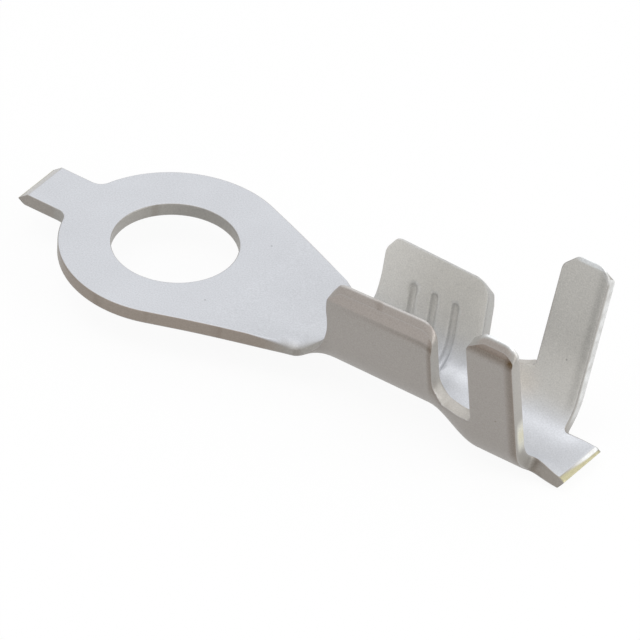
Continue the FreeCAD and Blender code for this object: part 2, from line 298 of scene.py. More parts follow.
def blank_side():
    """Left edge of the flat blank, from the tip to the tail, as run and reach pairs."""
    t, w, i = settings()[:3]
    at = places()
    radius, half_tip, root = t.ring / 2, t.tip_width / 2, t.tip_root
    corner = (-math.sqrt((radius + root) ** 2 - (half_tip + root) ** 2), half_tip + root)
    meet = math.degrees(math.atan2(corner[1], -corner[0]))
    leave = 90 - math.degrees(t.taper)
    half_neck = (radius - t.neck_run * math.sin(t.taper)) / math.cos(t.taper)
    side = [(t.tip_run, 0.0), (t.tip_run, half_tip)]
    side += arc(corner, root, -90, -meet, 8)
    side += arc((0, 0), radius, 180 - meet, leave, 60)[1:]
    side += [(t.neck_run, half_neck)]
    slope = math.tan(t.taper) * t.notch_start
    for k in range(1, 13):
        s = k / 12
        level = half_neck + (t.notch_reach - half_neck) * s * s * (3 - 2 * s)
        side.append((t.neck_run + t.notch_start * s, level - slope * s * (1 - s) ** 2))
    notch = t.neck_length - t.notch_start
    for k in range(1, 17):
        turn = math.radians(90 * k / 16)
        side.append((t.neck_run + t.notch_start + notch * math.sin(turn),
                     t.notch_reach + t.notch_rise * (1 - math.cos(turn))))
    side += rounded([side[-1], (at["wire_front"], w.reach - w.chamfer_rise),
                     (at["wire_front"] + w.chamfer_run, w.reach),
                     (at["wire_rear"] - w.corner, w.reach)], w.easing)[1:]
    side += arc((at["wire_rear"] - w.corner, w.reach - w.corner), w.corner, 90, 0, 8)[1:]
    centre = (at["wire_rear"] + w.channel_front_radius, w.channel_front_reach + w.channel_front_radius)
    side += arc(centre, w.channel_front_radius, 180, 270, 6)
    centre = (at["insulation_front"] - w.channel_rear_radius, w.channel_rear_reach + w.channel_rear_radius)
    side += arc(centre, w.channel_rear_radius, -90, 0, 5)
    front, rear, top = i.front_chamfer, i.rear_chamfer, i.reach
    wing = [side[-1], (at["insulation_front"], top - front), (at["insulation_front"] + front, top),
            (at["insulation_rear"] - rear, top), (at["insulation_rear"], top - rear),
            (at["insulation_rear"], i.tail_width / 2 + i.tail_root)]
    side += rounded(wing, i.easing)[1:]
    half_tail = i.tail_width / 2
    side += arc((at["insulation_rear"] + i.tail_root, half_tail + i.tail_root), i.tail_root, 180, 270, 5)[1:]
    side += [(at["tail_run"], half_tail), (at["tail_run"], 0.0)]
    return side


def spaced(points, step):
    """A closed loop with points added so that none are further apart than a step."""
    loop = []
    for a, b in zip(points, points[1:] + points[:1]):
        count = max(1, math.ceil(math.dist(a, b) / step))
        loop += [(a[0] + (b[0] - a[0]) * k / count, a[1] + (b[1] - a[1]) * k / count) for k in range(count)]
    return loop


def cleaned(points, least=0.004 * MM):
    """A closed loop without points that lie on their neighbour."""
    return [p for k, p in enumerate(points) if math.dist(p, points[k - 1]) > least]


def inset(loop, distance):
    """A closed loop moved towards its left side by a distance, mitred at its corners."""
    points = np.array(loop)
    ahead = np.roll(points, -1, axis=0) - points
    ahead /= np.linalg.norm(ahead, axis=1)[:, None]
    behind = np.roll(ahead, 1, axis=0)
    normal = np.stack([-(ahead[:, 1] + behind[:, 1]), ahead[:, 0] + behind[:, 0]], axis=1)
    share = np.maximum((normal ** 2).sum(axis=1), 0.8)
    return points + normal * (2 * distance / share)[:, None]


def inside(points, loop):
    """Which of the points lie inside a closed loop."""
    x, y = points[:, 0][:, None], points[:, 1][:, None]
    ax, ay = loop[:, 0], loop[:, 1]
    bx, by = np.roll(ax, -1), np.roll(ay, -1)
    with np.errstate(divide="ignore", invalid="ignore"):
        crosses = ((ay > y) != (by > y)) & (x < (bx - ax) * (y - ay) / (by - ay) + ax)
    return crosses.sum(axis=1) % 2 == 1


def nearest(points, loop):
    """Distance from each point to a loop's own points."""
    return np.sqrt(((points[:, None, :] - loop[None, :, :]) ** 2).sum(axis=2)).min(axis=1)


def blank_mesh():
    """Mesh of the flat strip: two faces, with rolled edges round the outline and the hole."""
    t, _, i, f, _ = settings()
    step = f.mesh_size
    half = blank_side()
    other = [(x, -y) for x, y in half if abs(y) > TINY]
    outline = cleaned(half[1:-1][::-1] + other)
    outline = spaced(outline, step)
    if sum(a[0] * b[1] - a[1] * b[0] for a, b in zip(outline, outline[1:] + outline[:1])) < 0:
        outline = outline[::-1]
    hole = arc((0, 0), t.hole / 2, 360, 0, 96)[:-1]
    levels = profile(t.stock, f, (t.tip_nose, i.tail_nose))
    verts, faces = [], []
    rim_low, rim_high = [], []
    for loop in (outline, hole):
        rings = []
        for moved, depth in levels:
            ring = inset(loop, moved)
            rings.append(range(len(verts), len(verts) + len(ring)))
            verts += [(x, y, depth) for x, y in ring]
        for low, high in zip(rings, rings[1:]):
            n = len(low)
            faces += [(low[k], low[(k + 1) % n], high[(k + 1) % n], high[k]) for k in range(n)]
        rim_low.append(rings[0])
        rim_high.append(rings[-1])
    verts, faces = fill(verts, faces, rim_low, rim_high, step)
    at = places()
    margin = np.array(outline)
    parted = []
    for x, y, depth in verts:
        if depth > t.stock / 2 and at["curl_start"] - 1.4 * MM < x < at["wire_front"]:
            away = nearest(np.array([(x, y)]), margin)[0]
            depth -= drawn(x, away, depth, t, f, at)
        x += slant(x - t.tip_run, depth, t.stock, t.tip_nose, t.tip_upper, t.tip_lower)
        x -= slant(at["tail_run"] - x, depth, t.stock, i.tail_nose, i.tail_upper, i.tail_lower)
        parted.append((x, y, depth))
    return parted, faces


def drawn(x, away, depth, t, f, at):
    """How far the upper face is drawn down beside the neck's edge."""
    swell = max(0.0, 1.0 - ((x - at["curl_start"] - NECK_MIDDLE) / NECK_SPREAD) ** 2)
    share = max(0.0, 1.0 - away / NECK_BORDER) ** 2
    return f.neck_roll * swell * share * (2 * depth / t.stock - 1.0)


def slant(inward, depth, stock, nose, upper, lower):
    """How far a place near a cut end is drawn back, so that the end forms a V."""
    share = max(0.0, 1.0 - inward / BEVEL_REACH)
    if depth < nose:
        return share * lower * (1.0 - depth / nose)
    return share * upper * (depth - nose) / (stock - nose)


def profile(stock, f, noses):
    """Pairs of inset and depth across the strip's edge, from the outer face to the inner one."""
    pairs = [(f.roll * 1.6, 0.0)]
    for k in range(4):
        a = math.radians(90 * k / 3)
        pairs.append((f.roll * (1 - math.sin(a)), f.outer_roll * (1 - math.cos(a))))
    walls = [f.outer_roll + (stock - f.outer_roll - f.inner_roll) * k / 5 for k in range(1, 5)]
    pairs += [(0.0, depth) for depth in sorted([*walls, *noses])]
    for k in range(4):
        a = math.radians(90 * k / 3)
        pairs.append((f.roll * (1 - math.cos(a)), stock - f.inner_roll * (1 - math.sin(a))))
    pairs.append((f.roll * 1.6, stock))
    return pairs


def serration_lines(step):
    """Loops along the foot and the lip of each serration, which the sheet's faces follow."""
    w = settings()[1]
    loops = []
    for number in range(w.groove_count):
        middle = places()["wire_front"] + w.groove_first + number * w.groove_pitch
        for half in (w.groove_width / 2 - SERRATION_FOOT, w.groove_width / 2 + SERRATION_LIP):
            loop = arc((middle, w.groove_reach), half, 0, 180, 6)
            loop += arc((middle, -w.groove_reach), half, 180, 360, 6)
            loops.append(np.array(spaced(loop, step)))
    return loops


def fill(verts, faces, rim_low, rim_high, step):
    """Adds the two faces of the strip, one triangulation used on both."""
    flat = [np.array([verts[k][:2] for k in ring]) for ring in rim_low]
    low, high = flat[0].min(axis=0), flat[0].max(axis=0)
    rows = np.arange(low[1], high[1], step * 0.866)
    grid = [(x, y) for r, y in enumerate(rows) for x in np.arange(low[0] + (r % 2) * step / 2, high[0], step)]
    grid = np.array(grid)
    keep = inside(grid, flat[0]) & ~inside(grid, flat[1])
    grid = grid[keep]
    close = np.minimum(nearest(grid, flat[0]), nearest(grid, flat[1]))
    grid = grid[close > step * 0.55]
    lines = serration_lines(step)
    if lines:
        grid = grid[nearest(grid, np.concatenate(lines)) > step * 0.5]
    points = np.concatenate(flat + lines + [grid])
    edges, start = [], 0
    for ring in flat + lines:
        n = len(ring)
        edges += [(start + k, start + (k + 1) % n) for k in range(n)]
        start += n
    made = delaunay_2d_cdt([Vector(p) for p in points], edges, [], 0, TINY)
    out, tris, source = made[0], made[2], made[3]
    middles = np.array([[sum(out[v].x for v in t) / 3, sum(out[v].y for v in t) / 3] for t in tris])
    keep = inside(middles, flat[0]) & ~inside(middles, flat[1])
    rims_low = [k for ring in rim_low for k in ring]
    rims_high = [k for ring in rim_high for k in ring]
    below, above = [], []
    stock = verts[rim_high[0][0]][2]
    for p, origins in zip(out, source):
        first = min(origins) if origins else len(rims_low)
        if first < len(rims_low):
            below.append(rims_low[first])
            above.append(rims_high[first])
            continue
        below.append(len(verts))
        verts.append((p.x, p.y, 0.0))
        above.append(len(verts))
        verts.append((p.x, p.y, stock))
    for tri, kept in zip(tris, keep):
        if kept:
            a, b, c = tri
            faces.append((above[a], above[b], above[c]))
            faces.append((below[c], below[b], below[a]))
    return verts, faces


# Node trees

class Tree:
    """A node tree that is written as sums and products."""

    def __init__(self, tree):
        self.tree = tree

    def node(self, kind, **values):
        """A new node with some of its own settings made."""
        made = self.tree.nodes.new(kind)
        for key, value in values.items():
            setattr(made, key, value)
        return made

    def link(self, source, target):
        """Joins a socket, or sets a plain value."""
        if isinstance(source, bpy.types.NodeSocket):
            self.tree.links.new(source, target)
        else:
            target.default_value = source

    def math(self, operation, *inputs, clamp=False):
        """Result of a Math node."""
        made = self.node("ShaderNodeMath", operation=operation, use_clamp=clamp)
        for k, value in enumerate(inputs):
            self.link(value, made.inputs[k])
        return made.outputs[0]

    def add(self, a, b):
        return self.math("ADD", a, b)

    def sub(self, a, b):
        return self.math("SUBTRACT", a, b)

    def mul(self, a, b):
        return self.math("MULTIPLY", a, b)

    def div(self, a, b):
        return self.math("DIVIDE", a, b)

    def over(self, a, b):
        return self.math("GREATER_THAN", a, b)

    def under(self, a, b):
        return self.math("LESS_THAN", a, b)

    def mix(self, a, b, share):
        """a where share is 0 and b where it is 1."""
        return self.add(a, self.mul(self.sub(b, a), share))

    def split(self, vector):
        """The three parts of a vector."""
        made = self.node("ShaderNodeSeparateXYZ")
        self.link(vector, made.inputs[0])
        return made.outputs

    def join(self, *parts):
        """A vector from its three parts."""
        made = self.node("ShaderNodeCombineXYZ")
        for k, value in enumerate(parts):
            self.link(value, made.inputs[k])
        return made.outputs[0]

    def blend(self, a, b, share, how="MIX"):
        """Colour a where share is 0 and b where it is 1."""
        made = self.node("ShaderNodeMix", data_type="RGBA", blend_type=how)
        for key, value in (("A", a), ("B", b)):
            plain = not isinstance(value, bpy.types.NodeSocket)
            self.link((*value, 1.0) if plain else value, made.inputs[key])
        self.link(share, made.inputs["Factor"])
        return made.outputs["Result"]

    def band(self, value, centre, half):
        """1 at a centre, fading to 0 at half a width from it."""
        return self.sub(1.0, self.ramp(self.math("ABSOLUTE", self.sub(value, centre)), 0.0, half))

    def ramp(self, value, start, end, smooth=True):
        """0 before a start and 1 after an end."""
        kind = "SMOOTHSTEP" if smooth else "LINEAR"
        made = self.node("ShaderNodeMapRange", interpolation_type=kind, clamp=True)
        for k, source in enumerate((value, start, end, 0.0, 1.0)):
            self.link(source, made.inputs[k])
        return made.outputs[0]


def fold_tree():
    """Geometry Nodes that press the serrations and coined tips into the blank and fold it."""
    t, w, i, f, _ = settings()
    at = places()
    group = bpy.data.node_groups.new("Fold Ring Terminal", "GeometryNodeTree")
    group.interface.new_socket("Blank", in_out="INPUT", socket_type="NodeSocketGeometry")
    values = {name.replace("_", " ").title(): run for name, run in at.items()}
    values |= {
        "Stock": t.stock, "Bend Start": t.bend_run, "Dip": t.dip,
        "Wire Radius": w.radius, "Wire Front Flare": w.front_flare, "Wire Rear Flare": w.rear_flare,
        "Wire Drop": w.drop, "Insulation Radius": i.radius, "Insulation Flare": i.flare,
        "Insulation Drop": i.drop, "Insulation Lean": i.lean, "Tail Drop": i.tail_drop,
        "Wire Reach": w.reach, "Wire Coined Length": w.coin_length, "Wire Coined Depth": w.coin_depth,
        "Insulation Reach": i.reach, "Insulation Coined Length": i.coin_length,
        "Insulation Coined Depth": i.coin_depth,
        "Serrations": float(w.groove_count), "First Serration": at["wire_front"] + w.groove_first,
        "Serration Pitch": w.groove_pitch, "Serration Width": w.groove_width,
        "Serration Depth": w.groove_depth, "Serration Reach": w.groove_reach, "Tip Roll": f.tip_roll,
    }
    for name in values:
        group.interface.new_socket(name, in_out="INPUT", socket_type="NodeSocketFloat")
    group.interface.new_socket("Finish", in_out="INPUT", socket_type="NodeSocketMaterial")
    group.interface.new_socket("Terminal", in_out="OUTPUT", socket_type="NodeSocketGeometry")
    n = Tree(group)
    given = n.node("NodeGroupInput").outputs
    position = n.node("GeometryNodeInputPosition").outputs[0]
    run, across, level = n.split(position)
    hand = n.math("SIGN", across)
    reach = n.math("ABSOLUTE", across)
    depth = n.sub(level, coined(n, given, run, reach, level))
    depth = n.sub(depth, pressed(n, given, run, reach, depth))
    eased = n.sub(reach, rounded_tip(n, given, run, reach, level))
    side, rise, height, lean = folded(n, given, run, eased, depth)
    x = n.add(run, n.mul(rise, n.math("SINE", lean)))
    z = n.add(height, n.mul(rise, n.math("COSINE", lean)))
    store = n.node("GeometryNodeStoreNamedAttribute", data_type="FLOAT_VECTOR", domain="POINT")
    store.inputs["Name"].default_value = "blank"
    n.link(n.join(run, reach, level), store.inputs["Value"])
    move = n.node("GeometryNodeSetPosition")
    n.link(n.join(x, n.mul(side, hand), z), move.inputs["Position"])
    smooth = n.node("GeometryNodeSetShadeSmooth")
    paint = n.node("GeometryNodeSetMaterial")
    n.link(given["Finish"], paint.inputs["Material"])
    last = given["Blank"]
    for step in (store, move, smooth, paint):
        n.link(last, step.inputs["Geometry"])
        last = step.outputs[0]
    n.link(last, n.node("NodeGroupOutput").inputs["Terminal"])
    return group, values


def coined(n, given, run, reach, depth):
    """Minus how far the outer face is pressed in at the wing tips, and less towards the inner face."""
    share = n.sub(1.0, n.div(depth, given["Stock"]))
    wire = n.under(run, n.add(given["Wire Rear"], BARREL_GAP))
    wire_start = n.sub(given["Wire Reach"], given["Wire Coined Length"])
    wire_press = n.ramp(reach, wire_start, given["Wire Reach"], smooth=False)
    wire_press = n.mul(wire_press, given["Wire Coined Depth"])
    start = n.sub(given["Insulation Reach"], given["Insulation Coined Length"])
    press = n.ramp(reach, start, given["Insulation Reach"], smooth=False)
    press = n.mul(press, given["Insulation Coined Depth"])
    on_barrel = n.over(run, given["Curl Start"])
    total = n.mul(n.mix(press, wire_press, wire), on_barrel)
    return n.mul(n.mul(total, share), -1.0)


def rounded_tip(n, given, run, reach, depth):
    """How far the outer side of a wing's tip is rounded back."""
    rear = n.over(run, n.add(given["Wire Rear"], BARREL_GAP))
    tip = n.mix(given["Wire Reach"], given["Insulation Reach"], rear)
    near = n.ramp(n.sub(reach, tip), -TIP_BORDER, 0.0)
    near = n.mul(near, n.over(run, given["Curl Start"]))
    share = n.math("POWER", n.sub(1.0, n.div(depth, given["Stock"])), 1.6)
    return n.mul(n.mul(near, share), given["Tip Roll"])


def pressed(n, given, run, reach, depth):
    """How far the inner face is pressed in at the serrations."""
    sizes = [given[name] for name in ("First Serration", "Serration Pitch", "Serrations", "Serration Reach")]
    away = serration(n, run, reach, *sizes)[1]
    half = n.mul(given["Serration Width"], 0.5)
    groove = n.sub(1.0, n.ramp(away, n.sub(half, SERRATION_FOOT), n.add(half, SERRATION_LIP)))
    inner = n.ramp(depth, n.mul(given["Stock"], 0.9), n.mul(given["Stock"], 0.98), smooth=False)
    return n.mul(n.mul(groove, inner), given["Serration Depth"])


def serration(n, run, reach, first, pitch, count, limit):
    """Number of the nearest serration, and the distance to its middle line."""
    number = n.math("ROUND", n.div(n.sub(run, first), pitch))
    number = n.math("MAXIMUM", 0.0, n.math("MINIMUM", n.sub(count, 1.0), number))
    along = n.sub(run, n.add(first, n.mul(number, pitch)))
    beyond = n.math("MAXIMUM", 0.0, n.sub(reach, limit))
    return number, n.math("SQRT", n.add(n.mul(along, along), n.mul(beyond, beyond)))


def folded(n, given, run, reach, depth):
    """Side, rise, height and lean of a place on the sheet once it is folded."""
    half = n.mul(given["Stock"], 0.5)
    quarter = math.pi / 2
    wire_middle = n.sub(given["Wire Radius"], half)
    insulation_middle = n.sub(given["Insulation Radius"], half)
    neck = n.ramp(run, given["Curl Start"], given["Wire Front"])
    along = n.ramp(run, given["Wire Front"], given["Channel Start"], smooth=False)
    channel = n.ramp(run, given["Channel Start"], given["Insulation Front"])
    tail = n.ramp(run, given["Insulation Rear"], given["Tail Run"])
    front = n.mul(n.sub(quarter, given["Wire Front Flare"]), wire_middle)
    rear = n.mul(n.sub(quarter, given["Wire Rear Flare"]), wire_middle)
    hug = n.mul(n.sub(quarter, given["Insulation Flare"]), insulation_middle)
    wire = n.mix(front, rear, along)
    arc_reach = n.mix(n.mix(n.mix(front, wire, neck), hug, channel), hug, tail)
    curl = n.mul(n.div(1.0, wire_middle), neck)
    curl = n.mul(n.mix(curl, n.div(1.0, insulation_middle), channel), n.sub(1.0, tail))
    curl = n.math("MAXIMUM", curl, 0.01)
    drop = n.mix(n.mul(given["Wire Drop"], neck), given["Insulation Drop"], channel)
    drop = n.mix(drop, given["Tail Drop"], tail)
    dip = n.mul(given["Dip"], n.sub(n.ramp(run, given["Bend Start"], given["Wire Front"]), neck))
    height = n.mul(n.add(drop, dip), -1.0)
    lean = n.mul(n.mul(given["Insulation Lean"], channel), n.sub(1.0, tail))
    bent = n.math("MINIMUM", reach, arc_reach)
    turn = n.mul(curl, bent)
    sine, cosine = n.math("SINE", turn), n.math("COSINE", turn)
    half_sine = n.math("SINE", n.mul(turn, 0.5))
    inward = n.sub(depth, half)
    straight = n.sub(reach, bent)
    side = n.add(n.div(sine, curl), n.sub(n.mul(straight, cosine), n.mul(inward, sine)))
    lift = n.div(n.mul(2.0, n.mul(half_sine, half_sine)), curl)
    rise = n.add(n.add(lift, n.mul(straight, sine)), n.add(n.mul(inward, cosine), half))
    return side, rise, height, lean


# Finishes

def tin_finish():
    """Satin tin plate: painted shade on the outside, painted light inside the wings, sheared at the edges,
    parted at both ends.
    """
    f = settings()[3]
    material = bpy.data.materials.new("tin_plated_brass")
    material.use_nodes = True
    n = Tree(material.node_tree)
    shader = material.node_tree.nodes["Principled BSDF"]
    shader.inputs["Metallic"].default_value = 0.3
    spot = n.node("ShaderNodeTexCoord").outputs["Object"]
    blank = n.node("ShaderNodeAttribute", attribute_name="blank").outputs["Vector"]
    run, reach, depth = n.split(blank)
    across = n.split(spot)[1]
    outer = n.sub(1.0, n.ramp(depth, 0.02 * MM, 0.06 * MM))
    inner = n.ramp(depth, n.mix(0.485 * MM, 0.22 * MM, neck(n, run)), 0.499 * MM)
    edge = n.sub(1.0, n.math("MAXIMUM", outer, inner))
    wings = raised(n, run, reach)
    # Painted light: the wings' inner faces take the lighter Inner Wing Tin.
    shade = n.blend(f.tin, f.inner, n.mul(inner, wings))
    # Painted shade: the outer face takes the darker Outer Tin.
    shade = n.blend(shade, f.outer, outer)
    # Painted shade: the outer face of the band below each wing's tip is darker and browner.
    tip_band_shade = n.blend(f.coined, f.insulation_tip_shade, behind(n, run))
    shade = n.blend(shade, tip_band_shade, n.mul(outer, shaded_tip_band(n, run, reach)))
    side = blanked_edge(n, run, reach, depth, across, spot)
    shade = n.blend(shade, side, edge)
    # Painted highlight along the inner side of the wings' rounded tips and rear corners.
    shade = n.blend(shade, f.burnish_and_highlight, n.mul(painted_edge_highlight(n, run, reach), n.ramp(depth, 0.3 * MM, 0.4 * MM)))
    bright, bare = parted(n, run, reach, depth, across)
    # Painted reflection: the inner faces beside the channel take the cream tint of its edges.
    glow = n.mul(n.mul(inner, n.band(reach, 2.2 * MM, 1.1 * MM)),
                 n.band(run, places()["insulation_front"] - 0.25 * MM, 0.9 * MM))
    shade = n.blend(shade, f.warm_reflection, n.mul(glow, 0.6))
    # The cut ends are bright, partly from their burnish and partly as painted highlight.
    shade = n.blend(shade, f.burnish_and_highlight, n.mul(edge, bright))
    shade = n.blend(shade, f.brass, n.mul(edge, bare))
    mottle = noise(n, spot, 900.0, 3.0)
    # Painted shade along the wings' tips, rear edges, serrations and corners darkens the mottled grey,
    # together with real shear marks and specks. Outside the wings' inner faces this shade turns browner.
    shade_and_marks = n.add(painted_shade_lines(n, run, reach, outer, inner), marks(n, spot, blank, edge))
    cloud = noise(n, spot, 160.0, 2.0)
    grey = n.sub(n.add(0.92, n.add(n.mul(mottle, 0.08), n.mul(cloud, 0.08))), shade_and_marks)
    grey = n.add(grey, n.mul(n.sub(noise(n, spot, 20000.0, 1.0), 0.5), f.grain))
    mottle_and_shade = n.node("ShaderNodeCombineColor")
    for k, warmth in enumerate((0.12, 0.0, -0.12)):
        n.link(n.add(grey, n.mul(n.mul(shade_and_marks, n.sub(1.0, inner)), warmth)), mottle_and_shade.inputs[k])
    shade = n.blend(shade, mottle_and_shade.outputs[0], 1.0, "MULTIPLY")
    n.link(shade, shader.inputs["Base Color"])
    n.link(n.add(f.tin_roughness, n.mul(n.sub(mottle, 0.5), 0.12)), shader.inputs["Roughness"])
    bump = n.node("ShaderNodeBump")
    bump.inputs["Strength"].default_value = 0.25
    bump.inputs["Distance"].default_value = 0.01 * MM
    n.link(noise(n, spot, 9000.0, 3.0), bump.inputs["Height"])
    n.link(bump.outputs[0], shader.inputs["Normal"])
    return material


def blanked_edge(n, run, reach, depth, across, spot):
    """Colour of the sheet's edge, which differs from place to place: painted shade along the tongue and the
    tabs, painted light along the channel and the far wire wing's rear edge, painted shade, light and
    highlight on the crests, and bright flecks on the far insulation wing's rear lip.
    """
    f, at = settings()[3], places()
    rear, wings = behind(n, run), raised(n, run, reach)
    far = n.over(across, 0.0)
    # Painted shade: the edges of the tongue and the tabs are darker.
    side = n.blend(f.sheared, f.shaded_rim, tongue(n, run, reach))
    # Painted light: the channel's edges are lighter.
    side = n.blend(side, f.notch, notches(n, run, reach))
    # Painted light: the far wire wing's rear edge is lighter.
    barrel = n.mul(n.ramp(run, at["wire_rear"] - 0.7 * MM, at["wire_rear"] - 0.5 * MM), wings)
    side = n.blend(side, f.lit_far_edge, n.mul(n.mul(barrel, far), n.sub(1.0, rear)))
    # The crests take painted shade on the near side and painted light on the far side. The inner half of the
    # insulation wings' crests takes painted highlight.
    wire = n.blend(f.wire_crest, f.lit_far_edge, far)
    insulation = n.mul(rear, n.ramp(depth, 0.22 * MM, 0.32 * MM))
    side = n.blend(side, n.blend(wire, f.crest, insulation), crest(n, run, reach))
    lip = n.over(run, at["insulation_rear"] - 0.03 * MM)
    lip = n.mul(lip, n.sub(1.0, n.ramp(depth, 0.3 * MM, 0.45 * MM)))
    flecks = n.mul(noise(n, spot, 2500.0, 2.0), 0.9)
    return n.blend(side, f.burnish_and_highlight, n.mul(n.mul(n.mul(lip, far), wings), flecks))


def raised(n, run, reach):
    """1 on the standing wings of both barrels."""
    at = places()
    return n.mul(n.ramp(reach, 0.9 * MM, 2.4 * MM), n.ramp(run, at["curl_start"], at["wire_front"]))


def behind(n, run):
    """1 behind the wire barrel."""
    return n.over(run, places()["wire_rear"] + BARREL_GAP)


def curled(n, run):
    """1 behind the place where the sides curl up."""
    return n.over(run, places()["curl_start"])


def notches(n, run, reach):
    """1 at the edges of the channel between the barrels, which are painted lighter as painted light; less
    next to the wire barrel's rear corner.
    """
    at = places()
    along = n.mul(n.ramp(run, at["wire_rear"] + 0.1 * MM, at["wire_rear"] + 0.6 * MM),
                  n.sub(1.0, n.ramp(run, at["insulation_front"], at["insulation_front"] + 0.1 * MM)))
    return n.mul(along, n.sub(1.0, n.ramp(reach, 2.6 * MM, 3.4 * MM)))


def neck(n, run):
    """1 where the neck's edges are drawn."""
    return n.band(run, places()["curl_start"] + NECK_MIDDLE, 1.9 * MM)


def tongue(n, run, reach):
    """How much the edge is darkened by painted shade: along the ring's near half, its taper and both tabs."""
    t = settings()[0]
    at = places()
    away = n.math("SQRT", n.add(n.mul(run, run), n.mul(reach, reach)))
    beyond = n.over(away, t.hole / 2 + 0.3 * MM)
    ahead = n.sub(1.0, n.ramp(run, t.neck_run - 0.3 * MM, at["curl_start"] + 0.2 * MM))
    tail = n.mul(n.ramp(run, at["insulation_rear"] + 0.1 * MM, at["insulation_rear"] + 0.3 * MM), 0.5)
    tip = n.mul(n.sub(1.0, n.ramp(run, -4.4 * MM, -4.2 * MM)), 0.4)
    ring = n.mul(beyond, n.mul(ahead, n.ramp(run, -3.6 * MM, -1.9 * MM)))
    return n.add(ring, n.add(tail, tip))


def shaded_tip_band(n, run, reach):
    """1 on the band below each wing's tip, whose outer face is painted darker and browner, as painted shade.
    """
    w, i, f = settings()[1:4]
    rear = behind(n, run)
    start = n.mix(w.reach - f.shaded_band_height, i.reach - f.shaded_band_height * 0.45, rear)
    wings = curled(n, run)
    return n.mul(wings, n.ramp(n.sub(reach, start), -0.04 * MM, 0.04 * MM))


def painted_edge_highlight(n, run, reach):
    """How much painted highlight lightens the border of a wing's tip and of its rear corner."""
    w, i = settings()[1:3]
    rear = behind(n, run)
    tip = n.sub(reach, n.mix(w.reach, i.reach, rear))
    tip = n.ramp(tip, n.mix(-0.1 * MM, -0.22 * MM, rear), n.mix(-0.03 * MM, -0.12 * MM, rear))
    corner = places()["insulation_rear"] + i.reach - i.rear_chamfer
    slope = n.ramp(n.sub(n.add(run, reach), corner), -0.26 * MM, -0.12 * MM)
    slope = n.mul(slope, n.ramp(reach, 5.0 * MM, 6.6 * MM))
    back = n.ramp(run, places()["insulation_front"] + 0.4 * MM, places()["insulation_front"] + 0.7 * MM)
    shine = n.math("MAXIMUM", n.mul(tip, n.mix(0.3, back, rear)), n.mul(slope, 0.3))
    return n.mul(shine, curled(n, run))


def crest(n, run, reach):
    """1 along the tips of the wings."""
    w, i = settings()[1:3]
    tip = n.sub(reach, n.mix(w.reach, i.reach, behind(n, run)))
    wings = curled(n, run)
    return n.mul(wings, n.ramp(tip, n.mix(-0.7 * MM, -0.3 * MM, behind(n, run)), -0.06 * MM))


def painted_shade_lines(n, run, reach, outer, inner):
    """How much painted shade darkens the sheet: a soft band below each wing's tip, near the wings' rear
    edges, behind the wire barrel, on the insulation wings' inner faces, on the serrations' walls and in the
    corner where the tail leaves the barrel.
    """
    w, i, f = settings()[1:4]
    at = places()
    rear = behind(n, run)
    border = n.mix(w.reach - f.shaded_band_height, i.reach - f.shaded_band_height * 0.45, rear)
    # Painted shadow: a soft band below the band at each wing's tip.
    below = n.band(reach, n.sub(border, 0.1 * MM), n.mix(0.18 * MM, 0.42 * MM, rear))
    strength = n.mix(n.mul(n.ramp(run, at["wire_front"], at["wire_rear"]), 0.26), 0.42, rear)
    below = n.mul(n.mul(below, n.over(run, at["wire_front"])), strength)
    wings = n.ramp(reach, 1.4 * MM, 2.4 * MM)
    # Painted shade near the wire and insulation wings' rear edges.
    wire_rear = n.mul(n.ramp(run, at["wire_rear"] - 0.24 * MM, at["wire_rear"] - 0.06 * MM), n.sub(1.0, rear))
    last = n.ramp(run, at["insulation_rear"] - 0.4 * MM, at["insulation_rear"] - 0.1 * MM)
    outside = n.add(below, n.mul(wings, n.add(n.mul(wire_rear, 0.34), n.mul(last, 0.38))))
    outside = n.add(outside, n.mul(rear, 0.045))
    inside = n.mul(n.mul(n.band(run, at["insulation_rear"] - 0.2 * MM, 0.26 * MM), wings), 0.16)
    inside = n.add(inside, n.mul(n.mul(rear, n.ramp(reach, 2.6 * MM, 4.6 * MM)), 0.24))
    first = at["wire_front"] + w.groove_first
    number, away = serration(n, run, reach, first, w.groove_pitch, float(w.groove_count), w.groove_reach)
    # Painted shade on the serrations' walls, stronger on each later one.
    wall = n.band(away, w.groove_width / 2, 0.05 * MM)
    groove = n.mul(wall, n.add(0.14, n.mul(number, 0.08)))
    # Painted shade in the corner where the tail leaves the barrel.
    corner_shade = n.band(run, at["insulation_rear"] + 0.16 * MM, 0.22 * MM)
    corner_shade = n.mul(corner_shade, n.band(reach, i.tail_width / 2, 0.5 * MM))
    corner_shade = n.mul(corner_shade, n.mul(n.sub(1.0, inner), 0.35))
    return n.add(n.add(n.mul(outer, outside), n.mul(inner, n.add(inside, groove))), corner_shade)


def marks(n, spot, blank, edge):
    """How much darker a few shear marks and specks are."""
    streaks = n.node("ShaderNodeMapping")
    streaks.inputs["Scale"].default_value = (1.0, 1.0, 0.15)
    n.link(spot, streaks.inputs["Vector"])
    shear = n.ramp(noise(n, streaks.outputs[0], 1500.0, 1.0), 0.6, 0.72)
    specks = n.node("ShaderNodeTexVoronoi", voronoi_dimensions="2D")
    n.link(blank, specks.inputs["Vector"])
    specks.inputs["Scale"].default_value = 330.0
    speck = n.sub(1.0, n.ramp(specks.outputs["Distance"], 0.008, 0.017))
    speck = n.mul(speck, n.over(n.split(specks.outputs["Color"])[0], 0.72))
    return n.add(n.mul(n.mul(shear, edge), 0.16), n.mul(speck, 0.3))


